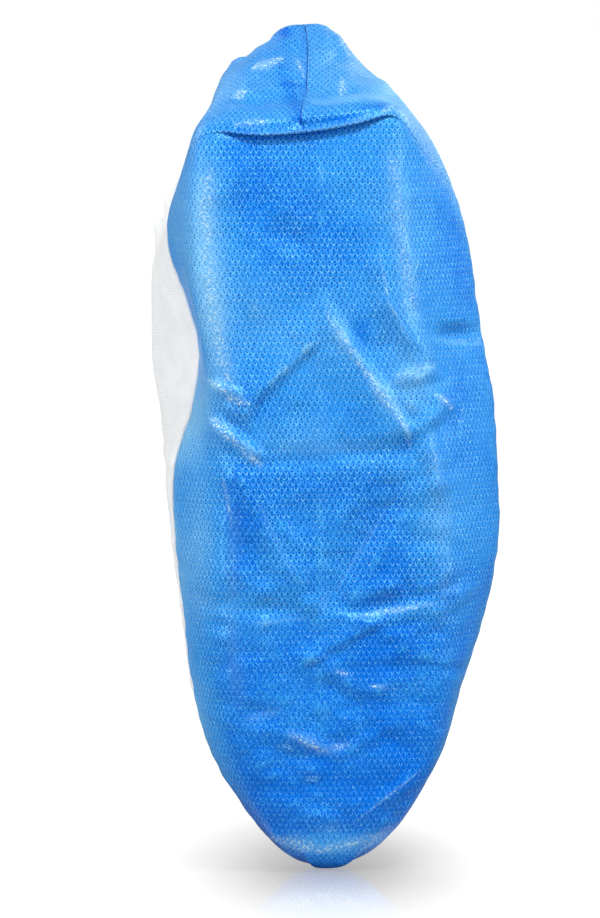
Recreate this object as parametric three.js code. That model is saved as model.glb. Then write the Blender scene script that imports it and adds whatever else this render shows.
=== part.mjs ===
// A disposable shoe cover in the form it has on a shoe that stands on its toe: an embossed blue sole panel
// that runs from the toe, under the sole and up behind the heel to the opening, a white upper panel sewn to its
// edge, and the elastic tape inside the opening. Millimetres. +Z runs from toe to heel, the sole faces -Y.
import * as THREE from "three";

const WALL = 1.1; // cloth thickness
const SEAM_GAP = 0.4; // between the two panels, along their seam
const TAPE_WIDTH = 8; // the elastic tape, which lies inside the opening
const TAPE_THICKNESS = 0.9;
const TAPE_CLEARANCE = 1; // between the tape and the panels
const TAPE_INSET = 1; // from the rim to the tape's edge
const EDGE_ROUND = 4.5; // how far the sole's edge is rounded
const CROWN_AT = 0.93; // share of the way to the top where the upper's crown starts
const CROWN_WIDTH = 0.56; // the crown's half width there, as a share of the widest

// Each ring is one loop round the foot, in the plane through its sole point and its top point.
//   soleY, soleZ / topY, topZ  the loop's middle on the sole side and on the top side
//   edgeL, edgeR    x of the sole's two edges, at share edgeAt of the way from sole to top
//   seamL, seamR    x of the two seams, at share seamAt
//   wideL, wideR    x of the upper's widest places, at share wideAt
//   topX            x of the top's middle
const COLUMNS = ["soleY", "soleZ", "topY", "topZ", "edgeL", "edgeR", "edgeAt"]
  .concat(["seamL", "seamR", "seamAt", "wideL", "wideR", "wideAt", "topX"]);
const RINGS = [
  [35.6, 3.6, 37, 4.4, 2.4, 10.4, 0.15, 1.4, 11.4, 0.45, 1.4, 11.4, 0.6, 6.4],
  [30, 1.4, 42, 7.4, 0.4, 12.4, 0.12, -2.2, 14.8, 0.46, -2, 14.6, 0.6, 6.4],
  [22, 0.1, 47, 11.5, -2.5, 15.3, 0.12, -7.4, 20, 0.46, -6.8, 19.4, 0.6, 6.3],
  [13, 2.8, 52, 18, -7.5, 20.3, 0.1, -13.4, 26, 0.46, -12, 24.6, 0.62, 6.2],
  [5.6, 9, 56, 28, -13.5, 26.3, 0.08, -20.8, 33.4, 0.45, -18, 30.6, 0.63, 6],
  [1.8, 20, 59.5, 42, -21, 34.6, 0.05, -29.8, 42.6, 0.43, -25.4, 38, 0.64, 5.4],
  [0.4, 38, 64, 60, -29, 43, 0.03, -40, 52.4, 0.42, -34.6, 46, 0.66, 4.6],
  [0, 66, 70, 86, -36.5, 50.4, 0.02, -47.4, 61.6, 0.4, -41, 53, 0.68, 3.4],
  [0, 98, 77, 112, -39.5, 54, 0.01, -51, 71.6, 0.37, -44.6, 59, 0.68, 1.6],
  [0, 130, 85, 138, -39.5, 53.5, 0, -54.4, 77, 0.34, -47.4, 62, 0.67, -1],
  [0, 160, 95, 160, -38.5, 49.5, 0, -54.6, 76.6, 0.31, -51, 62, 0.65, -4],
  [0, 188, 105, 178, -40.5, 45.5, 0, -47, 75.4, 0.29, -54.6, 60, 0.63, -6],
  [0, 214, 112, 190, -45.5, 41.6, 0, -44.4, 71.6, 0.28, -57, 58, 0.62, -7],
  [0, 240, 116, 197, -49, 38.4, 0, -49.6, 68.6, 0.29, -57, 56, 0.62, -7.4],
  [0, 264, 118.5, 201, -50, 35.4, 0, -55.6, 66.4, 0.305, -56.4, 54.4, 0.63, -7.6],
  [0, 282, 119.8, 203.4, -48.6, 33.6, 0, -55.8, 64, 0.325, -55.6, 53, 0.64, -7.6],
  [3.6, 294, 120.3, 204.8, -46.8, 34, 0, -52.4, 62.4, 0.35, -54.8, 51.6, 0.65, -7.4],
  [21, 305.5, 120.8, 206, -41.4, 38, 0.02, -46.8, 61.4, 0.372, -53.6, 50.4, 0.66, -7],
  [46, 321, 121.2, 207, -31.5, 32, 0.05, -41.6, 52.6, 0.398, -52, 48.6, 0.68, -6.4],
  [72, 336.5, 121.6, 208, -18, 24, 0.08, -38, 44, 0.42, -50.4, 46.6, 0.7, -5.6],
].map((row) => Object.fromEntries(COLUMNS.map((name, i) => [name, row[i]])));
const LAST_RING = RINGS.length - 1;

// Control points of a loop are numbered from the sole's middle: the right seam is SEAM, the top's middle HALF.
const SEAM = 4;
const HALF = 7;
const LOOP = 2 * HALF;

// Folds of the sole panel: straight creases in the sole's own plane, each a ridge (rise above 0) or a valley
// (below 0) that falls away over reach on both sides.
const CREASES = [
  { x0: 4, z0: 214, x1: -27, z1: 184, rise: -1.8, reach: 15 },
  { x0: 4, z0: 222, x1: 38, z1: 174, rise: 1.8, reach: 14 },
  { x0: 28, z0: 244, x1: 48, z1: 204, rise: 1.2, reach: 12 },
  { x0: -34, z0: 176, x1: -12, z1: 112, rise: 1.6, reach: 14 },
  { x0: 36, z0: 160, x1: 7, z1: 104, rise: -1.6, reach: 15 },
  { x0: -28, z0: 163, x1: 30, z1: 166, rise: -1.6, reach: 12 },
  { x0: -44, z0: 106, x1: 54, z1: 104, rise: -1.4, reach: 12 },
  { x0: 66, z0: 211, x1: 44, z1: 212, rise: -2.4, reach: 9 },
];

// The heel's spare cloth is tucked in above the sole's end and hangs over it in a lip. Each row shifts the
// skin at one ring number, out from the sole and up; the lip runs from x0 to x1 and climbs by tilt.
const LIP_FOLD = [
  { ring: 15.3, out: 0, up: 0 },
  { ring: 15.6, out: -5.2, up: 6 },
  { ring: 15.9, out: 5.4, up: 1.4 },
  { ring: 16.1, out: 8.4, up: 2.8 },
  { ring: 16.4, out: 7.4, up: 2.6 },
  { ring: 17, out: 3.4, up: 1.4 },
  { ring: 18, out: 0, up: 0 },
];
const LIP = { x0: -41, x1: 33, fade: 14, tilt: 0.1, tiltReach: 1.6 };

// A valley runs up the heel from the lip to the opening.
const HEEL_VALLEY = { x: -5.5, lean: 3.6, depth: 4, reach: 12, ring: 16.2 };

function ringPoints(row) {
  const sole = new THREE.Vector3(0, row.soleY, row.soleZ);
  const top = new THREE.Vector3(0, row.topY, row.topZ);
  const at = (x, share) => sole.clone().lerp(top, share).setX(x);
  const middle = (row.edgeL + row.edgeR) / 2;
  const half = (row.edgeR - row.edgeL) / 2;
  const round = Math.min(EDGE_ROUND, half * 0.3);
  const lift = round / sole.distanceTo(top);
  const side = (edge, seam, wide) => {
    const out = Math.sign(edge - middle);
    return [
      at(middle + out * half * 0.55, row.edgeAt * 0.3),
      at(edge - out * round, row.edgeAt),
      at(edge + (seam - edge) * lift * 1.5 + out * round * 0.2, row.edgeAt + lift),
      at(seam, row.seamAt),
      at(wide, row.wideAt),
      at(row.topX + (wide - row.topX) * CROWN_WIDTH, CROWN_AT),
    ];
  };
  const right = side(row.edgeR, row.seamR, row.wideR);
  const left = side(row.edgeL, row.seamL, row.wideL).reverse();
  return [at(middle, 0), ...right, at(row.topX, 1), ...left];
}

const loops = RINGS.map(ringPoints);
const lines = loops[0].map((_, k) => {
  return new THREE.CatmullRomCurve3(loops.map((loop) => loop[k]), false, "centripetal");
});

function smooth(x) {
  const t = THREE.MathUtils.clamp(x, 0, 1);
  return t * t * (3 - 2 * t);
}

function creaseRise(x, z) {
  let total = 0;
  for (const c of CREASES) {
    const along = new THREE.Vector2(c.x1 - c.x0, c.z1 - c.z0);
    const length = along.length();
    along.divideScalar(length);
    const offset = new THREE.Vector2(x - c.x0, z - c.z0);
    const s = offset.dot(along);
    const aside = Math.abs(offset.cross(along)) / c.reach;
    const ends = smooth((s + c.reach) / c.reach) * smooth((length + c.reach - s) / c.reach);
    total += c.rise * ends * Math.max(0, 1 - aside);
  }
  return total;
}

function lipShift(u) {
  const next = LIP_FOLD.findIndex((row) => row.ring > u);
  if (next <= 0) return { out: 0, up: 0 };
  const a = LIP_FOLD[next - 1];
  const b = LIP_FOLD[next];
  const t = smooth((u - a.ring) / (b.ring - a.ring));
  return { out: a.out + (b.out - a.out) * t, up: a.up + (b.up - a.up) * t };
}

// Moves a point of the heel into the lip, the tuck under it and the valley above it.
function foldHeel(point, u) {
  const across = smooth((point.x - LIP.x0) / LIP.fade) * smooth((LIP.x1 - point.x) / LIP.fade);
  const shift = lipShift(u);
  const tilt = LIP.tilt * smooth(1 - Math.abs(u - LIP_FOLD[2].ring) / LIP.tiltReach);
  point.y -= across * shift.out;
  point.z += across * (shift.up + tilt * (point.x - (LIP.x0 + LIP.x1) / 2));
  const valleyX = HEEL_VALLEY.x + (u - HEEL_VALLEY.ring) * HEEL_VALLEY.lean;
  const aside = Math.abs(point.x - valleyX) / HEEL_VALLEY.reach;
  const depth = HEEL_VALLEY.depth * Math.max(0, 1 - aside) * smooth((u - HEEL_VALLEY.ring) / 1.2);
  point.y += depth * 0.5;
  point.z -= depth * 0.85;
}

// A point of the cover's outer skin. u counts rings from the toe, v control points from the sole's middle.
function skin(u, v) {
  const row = lines.map((line) => line.getPoint(THREE.MathUtils.clamp(u / LAST_RING, 0, 1)));
  const loop = new THREE.CatmullRomCurve3(row, true, "centripetal");
  const around = THREE.MathUtils.euclideanModulo(v, LOOP);
  const point = loop.getPoint(around / LOOP);
  const fromMiddle = Math.min(around, LOOP - around);
  if (fromMiddle >= SEAM) return point;
  const fade = smooth((SEAM - fromMiddle) / 1.2);
  point.y -= fade * creaseRise(point.x, point.z) * smooth(LIP_FOLD[0].ring - u);
  if (u > LIP_FOLD[0].ring - 1.5) foldHeel(point, u);
  return point;
}

// The skin's outward direction. At the toe's tip, where the loops shrink to a slit, it is the nearby skin's.
const STEP = 0.02;
const TIP = 0.6;
function normalAt(u, v) {
  const ring = THREE.MathUtils.clamp(u, TIP, LAST_RING - STEP);
  const du = skin(ring + STEP, v).sub(skin(ring - STEP, v));
  const dv = skin(ring, v + STEP).sub(skin(ring, v - STEP));
  return dv.cross(du).normalize();
}

// The share of v that half the seam's gap takes at ring u.
function seamMargin(u) {
  return (0.5 * SEAM_GAP * 0.2) / skin(u, SEAM - 0.1).distanceTo(skin(u, SEAM + 0.1));
}

// The ring number of the point at that distance below the rim, measured along the skin.
const WALK = 0.05;
function ringBelowRim(v, distance) {
  let u = LAST_RING;
  let left = distance;
  let from = skin(u, v);
  for (;;) {
    const to = skin(u - WALK, v);
    const step = from.distanceTo(to);
    if (step >= left) return u - (WALK * left) / step;
    left -= step;
    u -= WALK;
    from = to;
  }
}

// A closed solid between two depths under the skin. at(s, t) gives u and v for s from 0 to rows, t from 0 to 1;
// a closed band goes all the way round, and an open one ends in two edges. Each four-sided patch is split along
// the diagonal that lies nearer the skin, so that creases stay crisp.
function shell({ rows, columns, at, outer, inner, closed }) {
  const position = [];
  const index = [];
  const perRow = closed ? columns : columns + 1;
  for (const depth of [outer, inner])
    for (let i = 0; i <= rows; i++)
      for (let j = 0; j < perRow; j++) {
        const [u, v] = at(i, j / columns);
        position.push(...skin(u, v).addScaledVector(normalAt(u, v), -depth));
      }
  const id = (side, i, j) => (side * (rows + 1) + i) * perRow + (j % perRow);
  const corner = (n) => new THREE.Vector3().fromArray(position, 3 * n);
  const quad = (a, b, c, d) => index.push(a, b, c, a, c, d);
  const under = id(1, 0, 0);
  for (let i = 0; i < rows; i++)
    for (let j = 0; j < columns; j++) {
      const [a, b, c, d] = [id(0, i, j), id(0, i, j + 1), id(0, i + 1, j + 1), id(0, i + 1, j)];
      const centre = skin(...at(i + 0.5, (j + 0.5) / columns));
      const off = (p, q) => corner(p).add(corner(q)).multiplyScalar(0.5).distanceTo(centre);
      if (off(a, c) <= off(b, d)) {
        quad(a, b, c, d);
        quad(a + under, d + under, c + under, b + under);
      } else {
        quad(b, c, d, a);
        quad(b + under, a + under, d + under, c + under);
      }
    }
  for (let j = 0; j < columns; j++) {
    quad(id(0, 0, j), id(1, 0, j), id(1, 0, j + 1), id(0, 0, j + 1));
    quad(id(0, rows, j), id(0, rows, j + 1), id(1, rows, j + 1), id(1, rows, j));
  }
  for (let i = 0; i < rows && !closed; i++) {
    quad(id(0, i, 0), id(0, i + 1, 0), id(1, i + 1, 0), id(1, i, 0));
    quad(id(0, i, columns), id(1, i, columns), id(1, i + 1, columns), id(0, i + 1, columns));
  }
  const geometry = new THREE.BufferGeometry();
  geometry.setAttribute("position", new THREE.Float32BufferAttribute(position, 3));
  geometry.setIndex(index);
  geometry.computeVertexNormals();
  return geometry;
}

function evenly(from, to, steps) {
  return Array.from({ length: steps + 1 }, (_, i) => from + ((to - from) * i) / steps);
}

function piece(name, colour, roughness, shape) {
  const material = new THREE.MeshStandardMaterial({ color: colour, roughness, metalness: 0 });
  const mesh = new THREE.Mesh(shell(shape), material);
  mesh.name = name;
  return mesh;
}

// Rows of the panels, as ring numbers: close together where the heel folds.
const ROWS = [...evenly(0, 15, 32), ...evenly(15.3, 16.5, 12), ...evenly(17, LAST_RING, 4)];

// A panel's shape from seam to seam, less half the seam's gap at each edge.
function panel(from, to, columns) {
  const at = (s, t) => {
    const i = Math.min(Math.floor(s), ROWS.length - 2);
    const u = ROWS[i] + (ROWS[i + 1] - ROWS[i]) * (s - i);
    const margin = seamMargin(u);
    return [u, from + margin + (to - from - 2 * margin) * t];
  };
  return { rows: ROWS.length - 1, columns, at, outer: 0, inner: WALL, closed: false };
}

const TAPE_ROWS = 2;
const tape = {
  rows: TAPE_ROWS,
  columns: 48,
  at: (s, t) => {
    const v = t * LOOP;
    return [ringBelowRim(v, TAPE_INSET + TAPE_WIDTH * (1 - s / TAPE_ROWS)), v];
  },
  outer: WALL + TAPE_CLEARANCE,
  inner: WALL + TAPE_CLEARANCE + TAPE_THICKNESS,
  closed: true,
};

const cover = new THREE.Group();
cover.add(
  piece("sole_panel", "#2f86ee", 0.45, panel(-SEAM, SEAM, 26)),
  piece("upper_panel", "#e9ecee", 0.85, panel(SEAM, LOOP - SEAM, 18)),
  piece("ankle_elastic", "#f4f4f2", 0.9, tape),
);

// The part's origin is the middle of the opening, where the leg goes in.
cover.position.set(2, -96.8, -271);

export default cover;
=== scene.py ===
"""A disposable shoe cover in the form it takes on a shoe that stands on its toe.

The embossed film sole panel, the spunbond upper, their seam and the elastic hem are shells over one skin: a
table of rings from toe to opening, joined by smooth curves, with folds and creases laid over it. Lengths in the
tables are millimetres, in a frame that starts at the toe: +Z to the heel, -Y the way the sole faces.
"""

import math

import bpy
import numpy as np
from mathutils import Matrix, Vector

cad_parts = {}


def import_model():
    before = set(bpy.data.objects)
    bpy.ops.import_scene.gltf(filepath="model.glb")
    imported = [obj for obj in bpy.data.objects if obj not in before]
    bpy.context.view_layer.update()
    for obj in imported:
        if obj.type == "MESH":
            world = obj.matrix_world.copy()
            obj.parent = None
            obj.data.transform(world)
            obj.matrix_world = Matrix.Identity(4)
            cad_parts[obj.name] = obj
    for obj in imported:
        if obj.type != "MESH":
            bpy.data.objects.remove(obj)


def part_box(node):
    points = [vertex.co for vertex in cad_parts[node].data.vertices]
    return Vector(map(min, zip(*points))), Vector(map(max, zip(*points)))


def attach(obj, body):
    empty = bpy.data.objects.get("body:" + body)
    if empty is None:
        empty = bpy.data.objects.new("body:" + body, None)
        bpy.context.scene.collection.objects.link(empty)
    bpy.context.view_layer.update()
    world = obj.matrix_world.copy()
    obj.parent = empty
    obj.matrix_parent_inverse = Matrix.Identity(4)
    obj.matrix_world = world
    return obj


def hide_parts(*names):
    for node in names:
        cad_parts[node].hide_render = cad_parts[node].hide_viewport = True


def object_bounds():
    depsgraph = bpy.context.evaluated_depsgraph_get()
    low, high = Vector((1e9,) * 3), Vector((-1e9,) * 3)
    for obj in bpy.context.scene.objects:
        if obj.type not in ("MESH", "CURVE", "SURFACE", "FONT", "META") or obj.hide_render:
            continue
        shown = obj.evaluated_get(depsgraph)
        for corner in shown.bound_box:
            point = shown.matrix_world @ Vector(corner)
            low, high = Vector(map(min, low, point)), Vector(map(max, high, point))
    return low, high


MM = 0.001

# Rings of the skin. soleY, soleZ / topY, topZ: the loop's middle on the sole side and on the top side. edgeL,
# edgeR: x of the sole's edges, at share edgeAt of the way from sole to top. seamL, seamR, seamAt: the seams.
# wideL, wideR, wideAt: the upper's widest places. topX: x of the top's middle.
COLUMNS = "soleY soleZ topY topZ edgeL edgeR edgeAt seamL seamR seamAt wideL wideR wideAt topX".split()
RINGS = np.array([
    [35.6, 3.6, 37, 4.4, 2.4, 10.4, 0.15, 1.4, 11.4, 0.45, 1.4, 11.4, 0.6, 6.4],
    [30, 1.4, 42, 7.4, 0.4, 12.4, 0.12, -2.2, 14.8, 0.46, -2, 14.6, 0.6, 6.4],
    [22, 0.1, 47, 11.5, -2.5, 15.3, 0.12, -7.4, 20, 0.46, -6.8, 19.4, 0.6, 6.3],
    [13, 2.8, 52, 18, -7.5, 20.3, 0.1, -13.4, 26, 0.46, -12, 24.6, 0.62, 6.2],
    [5.6, 9, 56, 28, -13.5, 26.3, 0.08, -20.8, 33.4, 0.45, -18, 30.6, 0.63, 6],
    [1.8, 20, 59.5, 42, -21, 34.6, 0.05, -29.8, 42.6, 0.43, -25.4, 38, 0.64, 5.4],
    [0.4, 38, 64, 60, -29, 43, 0.03, -40, 52.4, 0.42, -34.6, 46, 0.66, 4.6],
    [0, 66, 70, 86, -36.5, 50.4, 0.02, -47.4, 61.6, 0.4, -41, 53, 0.68, 3.4],
    [0, 98, 77, 112, -39.5, 54, 0.01, -51, 71.6, 0.37, -44.6, 59, 0.68, 1.6],
    [0, 130, 85, 138, -39.5, 53.5, 0, -54.4, 77, 0.34, -47.4, 62, 0.67, -1],
    [0, 160, 95, 160, -38.5, 49.5, 0, -54.6, 76.6, 0.31, -51, 62, 0.65, -4],
    [0, 188, 105, 178, -40.5, 45.5, 0, -47, 75.4, 0.29, -54.6, 60, 0.63, -6],
    [0, 214, 112, 190, -45.5, 41.6, 0, -44.4, 71.6, 0.28, -57, 58, 0.62, -7],
    [0, 240, 116, 197, -49, 38.4, 0, -49.6, 68.6, 0.29, -57, 56, 0.62, -7.4],
    [0, 264, 118.5, 201, -50, 35.4, 0, -55.6, 66.4, 0.305, -56.4, 54.4, 0.63, -7.6],
    [0, 282, 119.8, 203.4, -48.6, 33.6, 0, -55.8, 64, 0.325, -55.6, 53, 0.64, -7.6],
    [3.6, 294, 120.3, 204.8, -46.8, 34, 0, -52.4, 62.4, 0.35, -54.8, 51.6, 0.65, -7.4],
    [21, 305.5, 120.8, 206, -41.4, 38, 0.02, -46.8, 61.4, 0.372, -53.6, 50.4, 0.66, -7],
    [46, 321, 121.2, 207, -31.5, 32, 0.05, -41.6, 52.6, 0.398, -52, 48.6, 0.68, -6.4],
    [72, 336.5, 121.6, 208, -18, 24, 0.08, -38, 44, 0.42, -50.4, 46.6, 0.7, -5.6],
])
LAST = len(RINGS) - 1
SEAM, HALF = 4, 7
LOOP = 2 * HALF
EDGE_ROUND = 4.5
CROWN_AT, CROWN_WIDTH = 0.93, 0.56


def smooth(x):
    t = np.clip(x, 0, 1)
    return t * t * (3 - 2 * t)


def ring_points():
    """The control points of every loop: from the sole's middle round the right side, the top and the left."""
    row = dict(zip(COLUMNS, RINGS.T))
    sole = np.stack([0 * row["soleY"], row["soleY"], row["soleZ"]], 1)
    top = np.stack([0 * row["topY"], row["topY"], row["topZ"]], 1)

    def at(x, share):
        p = sole + (top - sole) * np.broadcast_to(share, x.shape)[:, None]
        p[:, 0] = x
        return p

    middle = (row["edgeL"] + row["edgeR"]) / 2
    half = (row["edgeR"] - row["edgeL"]) / 2
    rounding = np.minimum(EDGE_ROUND, half * 0.3)
    lift = rounding / np.linalg.norm(top - sole, axis=1)

    def side(name, out):
        edge, seam, wide = row["edge" + name], row["seam" + name], row["wide" + name]
        return [
            at(middle + out * half * 0.55, row["edgeAt"] * 0.3),
            at(edge - out * rounding, row["edgeAt"]),
            at(edge + (seam - edge) * lift * 1.5 + out * rounding * 0.2, row["edgeAt"] + lift),
            at(seam, row["seamAt"]),
            at(wide, row["wideAt"]),
            at(row["topX"] + (wide - row["topX"]) * CROWN_WIDTH, CROWN_AT),
        ]

    loops = [at(middle, 0)] + side("R", 1) + [at(row["topX"], 1)] + side("L", -1)[::-1]
    return np.stack(loops, 1)


def catmull(p0, p1, p2, p3, t):
    """A centripetal Catmull-Rom curve from p1 to p2."""
    d0, d1, d2 = (np.sqrt(np.linalg.norm(b - a, axis=-1))[..., None] for a, b in ((p0, p1), (p1, p2), (p2, p3)))
    d1 = np.where(d1 < 1e-4, 1, d1)
    d0, d2 = np.where(d0 < 1e-4, d1, d0), np.where(d2 < 1e-4, d1, d2)
    m1 = ((p1 - p0) / d0 - (p2 - p0) / (d0 + d1) + (p2 - p1) / d1) * d1
    m2 = ((p2 - p1) / d1 - (p3 - p1) / (d1 + d2) + (p3 - p2) / d2) * d1
    t = t[..., None]
    return p1 + t * (m1 + t * (3 * (p2 - p1) - 2 * m1 - m2 + t * (2 * (p1 - p2) + m1 + m2)))


CONTROL = ring_points()
PADDED = np.concatenate([2 * CONTROL[:1] - CONTROL[1:2], CONTROL, 2 * CONTROL[-1:] - CONTROL[-2:-1]])


def bare_skin(u, v):
    """The skin without folds, in mm. u (rings from the toe) and v (control points round) have one shape."""
    ring = np.clip(np.floor(u).astype(int), 0, LAST - 1)
    j = np.floor(v).astype(int)
    fall = np.clip(u, 0, LAST) - ring

    def along(k):
        rows = [PADDED[ring + s, k % LOOP] for s in range(4)]
        return catmull(*rows, fall)

    return catmull(*[along(j + s) for s in (-1, 0, 1, 2)], v - j)


# The heel's spare cloth is tucked in above the sole's end and hangs over it in a lip. Each row shifts the skin
# at one ring number, out from the sole and up. The lip runs from LIP_X0 to LIP_X1; from LIP_LEVEL it climbs to the
# right by LIP_TILT and ever steeper by LIP_BOW, over rings LIP_TILT_REACH away and as far as LIP_CLIMB_END.
LIP_FOLD = np.array([
    [15.7, 0, 0], [15.8, -3.4, 3.2], [15.88, 4.6, -0.2], [15.98, 4.3, 0.8], [16.2, 6, 1.6], [16.5, 5.6, 1.8],
    [17, 2.6, 1.2], [18, 0, 0],
])
LIP_X0, LIP_X1, LIP_FADE = -44, 35, 22
LIP_LEVEL, LIP_TILT, LIP_BOW, LIP_TILT_REACH, LIP_CLIMB_END = -8, 0.1, 0.0026, 1.7, 46
# The pleat that runs up the heel from ring PLEAT_START. Its right layer stands PLEAT_RISE proud and laps over the
# left one, which lies PLEAT_DEPTH deeper, and PLEAT_RIM_DEPTH at the opening; each is level again in its reach.
PLEAT_START, PLEAT_GROWS = 15.98, 0.28
PLEAT_RISE, PLEAT_RIM_RISE, PLEAT_LAP, PLEAT_RIGHT = 2.1, 0.6, 2.2, 24.0
PLEAT_DEPTH, PLEAT_RIM_DEPTH, PLEAT_LEFT, PLEAT_RIM_LEFT = 2.8, 3.4, 8.0, 5.0
PLEAT_DRIFT, PLEAT_DRIFT_START = 0.36, 16.6


def lip_share(p):
    """1 where the lip stands out in full, 0 beyond its ends."""
    return smooth((p[..., 0] - LIP_X0) / LIP_FADE) * smooth((LIP_X1 - p[..., 0]) / LIP_FADE)


def lip(p, u):
    """Moves the heel's points into the lip and the tuck under it."""
    across = lip_share(p)
    k = np.clip(np.searchsorted(LIP_FOLD[:, 0], u, side="right") - 1, 0, len(LIP_FOLD) - 2)
    a, b = LIP_FOLD[k], LIP_FOLD[k + 1]
    t = smooth((u - a[..., 0]) / (b[..., 0] - a[..., 0]))[..., None]
    shift = a + (b - a) * t
    right = p[..., 0] - LIP_LEVEL
    climb = (LIP_TILT * right + LIP_BOW * right ** 2) * smooth(1 - np.abs(u - LIP_FOLD[2, 0]) / LIP_TILT_REACH)
    climb = climb * smooth((p[..., 0] - LIP_X0) / LIP_FADE) * smooth((LIP_CLIMB_END - p[..., 0]) / LIP_FADE)
    out = across * shift[..., 1] * (u > LIP_FOLD[0, 0])
    up = across * shift[..., 2] * (u > LIP_FOLD[0, 0]) + climb
    return p + np.stack([0 * out, -out, up], -1)


def pleat_line(u):
    """The pleat's place round the loop, in control points from the sole's middle."""
    return PLEAT_DRIFT * smooth((u - PLEAT_DRIFT_START) / (LAST - PLEAT_DRIFT_START))


def pleat(p, u, n, middle):
    """Laps the heel's cloth at a grid's middle column. n holds the grid's outward normals."""
    run = arc(p, 1)
    d = run - run[:, middle:middle + 1]
    aside = np.gradient(p, axis=1)
    aside /= np.linalg.norm(aside, axis=-1, keepdims=True)
    grow = smooth((u - PLEAT_START) / PLEAT_GROWS)
    left = np.arange(p.shape[1])[None] < middle
    near_rim = smooth((u - 17.2) / 1.8)
    depth = PLEAT_DEPTH + (PLEAT_RIM_DEPTH - PLEAT_DEPTH) * near_rim
    sink = depth * smooth(1 + d / (PLEAT_LEFT + (PLEAT_RIM_LEFT - PLEAT_LEFT) * near_rim)) * left
    rise = (PLEAT_RISE + (PLEAT_RIM_RISE - PLEAT_RISE) * near_rim) * smooth(1 - d / PLEAT_RIGHT) * ~left
    lap = PLEAT_LAP * smooth(1 - d / PLEAT_RIGHT) * ~left
    level = n * [1, 1, 0]
    level /= np.linalg.norm(level, axis=-1, keepdims=True)
    outer = p + level * ((rise - sink) * grow)[..., None] - aside * (lap * grow)[..., None]
    step = np.abs(np.arange(p.shape[1])[None] - middle + 0.5) < 1
    inner = outer - n * thickness(u) + aside * (CLOTH * grow * step)[..., None]
    return outer, inner


# Creases of the sole panel. Each runs from x0, z0 to x1, z1 in the sole's plane, rises (or sinks) by rise, and
# falls away over left and right of its direction of travel; a short reach makes a narrow steep facet.
CREASES = [
    # x0, z0, x1, z1, rise, left, right
    [-2, 212, -28, 188, 1.3, 3.5, 15],
    [-28, 188, -30, 181, 0.8, 3.5, 9],
    [1, 225, 35, 174, 1.4, 4.2, 17],
    [23, 244, 27, 226, 1.0, 8, 6],
    [27, 226, 34, 212, 1.2, 8, 6],
    [34, 212, 47, 203, 1.1, 7, 7],
    [30, 195, 48, 199, 0.8, 5, 4],
    [36, 175, 49, 184, 0.9, 4, 5],
    [46, 189, 53, 184, 0.8, 3, 4],
    [42, 176, 47, 151, 0.9, 6, 5],
    [66, 212, 50, 213, -1.6, 4, 5],
    [-28, 163, -4, 164, -0.7, 7, 4],
    [-6, 163, 12, 167, -0.5, 8, 5],
    [10, 166, 28, 168, -0.7, 6, 4],
    [-41, 194, -30, 190, 0.9, 2.5, 4],
    [-42, 179, -22, 165, 1.2, 3, 6],
    [-39, 183, -27, 172, -0.7, 3, 3],
    [-34, 162, -19, 130, 1.1, 12, 9],
    [-19, 130, -8, 116, 0.8, 10, 8],
    [32, 153, 3, 108, -1.2, 7, 12],
    [-48, 108, -20, 105, -0.5, 6, 4],
    [-22, 106, 0, 103, -0.4, 5, 4],
    [0, 105, 24, 104, -0.6, 6, 4],
    [20, 104, 52, 108, -0.7, 7, 4],
    [20, 103, 45, 107, 0.8, 2.5, 5],
    [-8, 84, 22, 100, 0.8, 6, 3],
    [-10, 55, 8, 48, 0.6, 4, 4],
    [8, 48, 24, 56, 0.6, 4, 4],
    [14, 21, 41, 42, 0.5, 3, 5],
    [-40, 268, -26, 285, 0.5, 6, 6],
    [-20, 254, -4, 248, -0.7, 8, 6],
    [-26, 254, -26, 222, 0.5, 5, 6],
    [0, 286, 0, 60, 0.35, 3.5, 3.5],
]
# Glints: painted highlights on facets that face the lights, milky with bright specks. x0, z0, x1, z1, half width,
# amount.
GLINTS = [
    [2, 222, 18, 198, 2.3, 0.46],
    [16, 201, 34, 177, 3.0, 0.5],
    [34, 177, 36, 168, 1.2, 0.4],
    [23, 246, 27, 226, 0.7, 0.45],
    [27, 226, 35, 211, 0.8, 0.5],
    [30, 197, 46, 201, 3.4, 0.35],
    [46, 189, 53, 184, 1.2, 0.9],
    [43, 174, 46, 155, 1.6, 0.35],
    [-44, 196, -35, 191, 2.0, 0.6],
    [-37, 189, -29, 187, 1.8, 0.7],
    [-42, 181, -33, 171, 2.4, 0.62],
    [-34, 171, -23, 162, 2.0, 0.5],
    [-38, 158, -35, 138, 1.0, 0.4],
    [-26, 150, -10, 117, 1.1, 0.25],
    [30, 150, 6, 112, 0.9, 0.25],
    [18, 103, 45, 107, 1.1, 0.6],
    [-20, 168, 24, 170, 2.4, 0.2],
    [-30, 100, -6, 102, 1.0, 0.3],
    [6, 81, 12, 79, 1.0, 0.7],
    [20, 75, 27, 74, 0.9, 0.6],
    [-13, 57, 3, 49, 2.2, 0.5],
    [0, 49, 12, 52, 1.8, 0.45],
    [-30, 62, -16, 66, 2.0, 0.25],
    [14, 21, 41, 42, 0.5, 0.5],
    [-17, 14, 3, 9, 3.4, 0.55],
    [-1, 9, 26, 15, 3.2, 0.45],
    [-2, 321, -1, 314, 1.0, 0.8],
    [-20, 316, -8, 321, 1.8, 0.8],
    [-31, 306, -26, 308, 1.4, 0.8],
    [12, 307, 14, 312, 1.8, 0.6],
    [-33, 296, -20, 297, 1.6, 0.5],
    [24, 300, 30, 303, 1.6, 0.5],
]
# Painted highlights along the sole's edges: side (-1 left, 1 right), lowest and highest z, half width, amount.
EDGE_GLINTS = [
    (-1, 176, 285, 4.5, 0.42),
    (1, 206, 292, 5.0, 0.36),
    (-1, 60, 150, 3.0, 0.2),
    (1, 90, 180, 3.0, 0.22),
]
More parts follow.
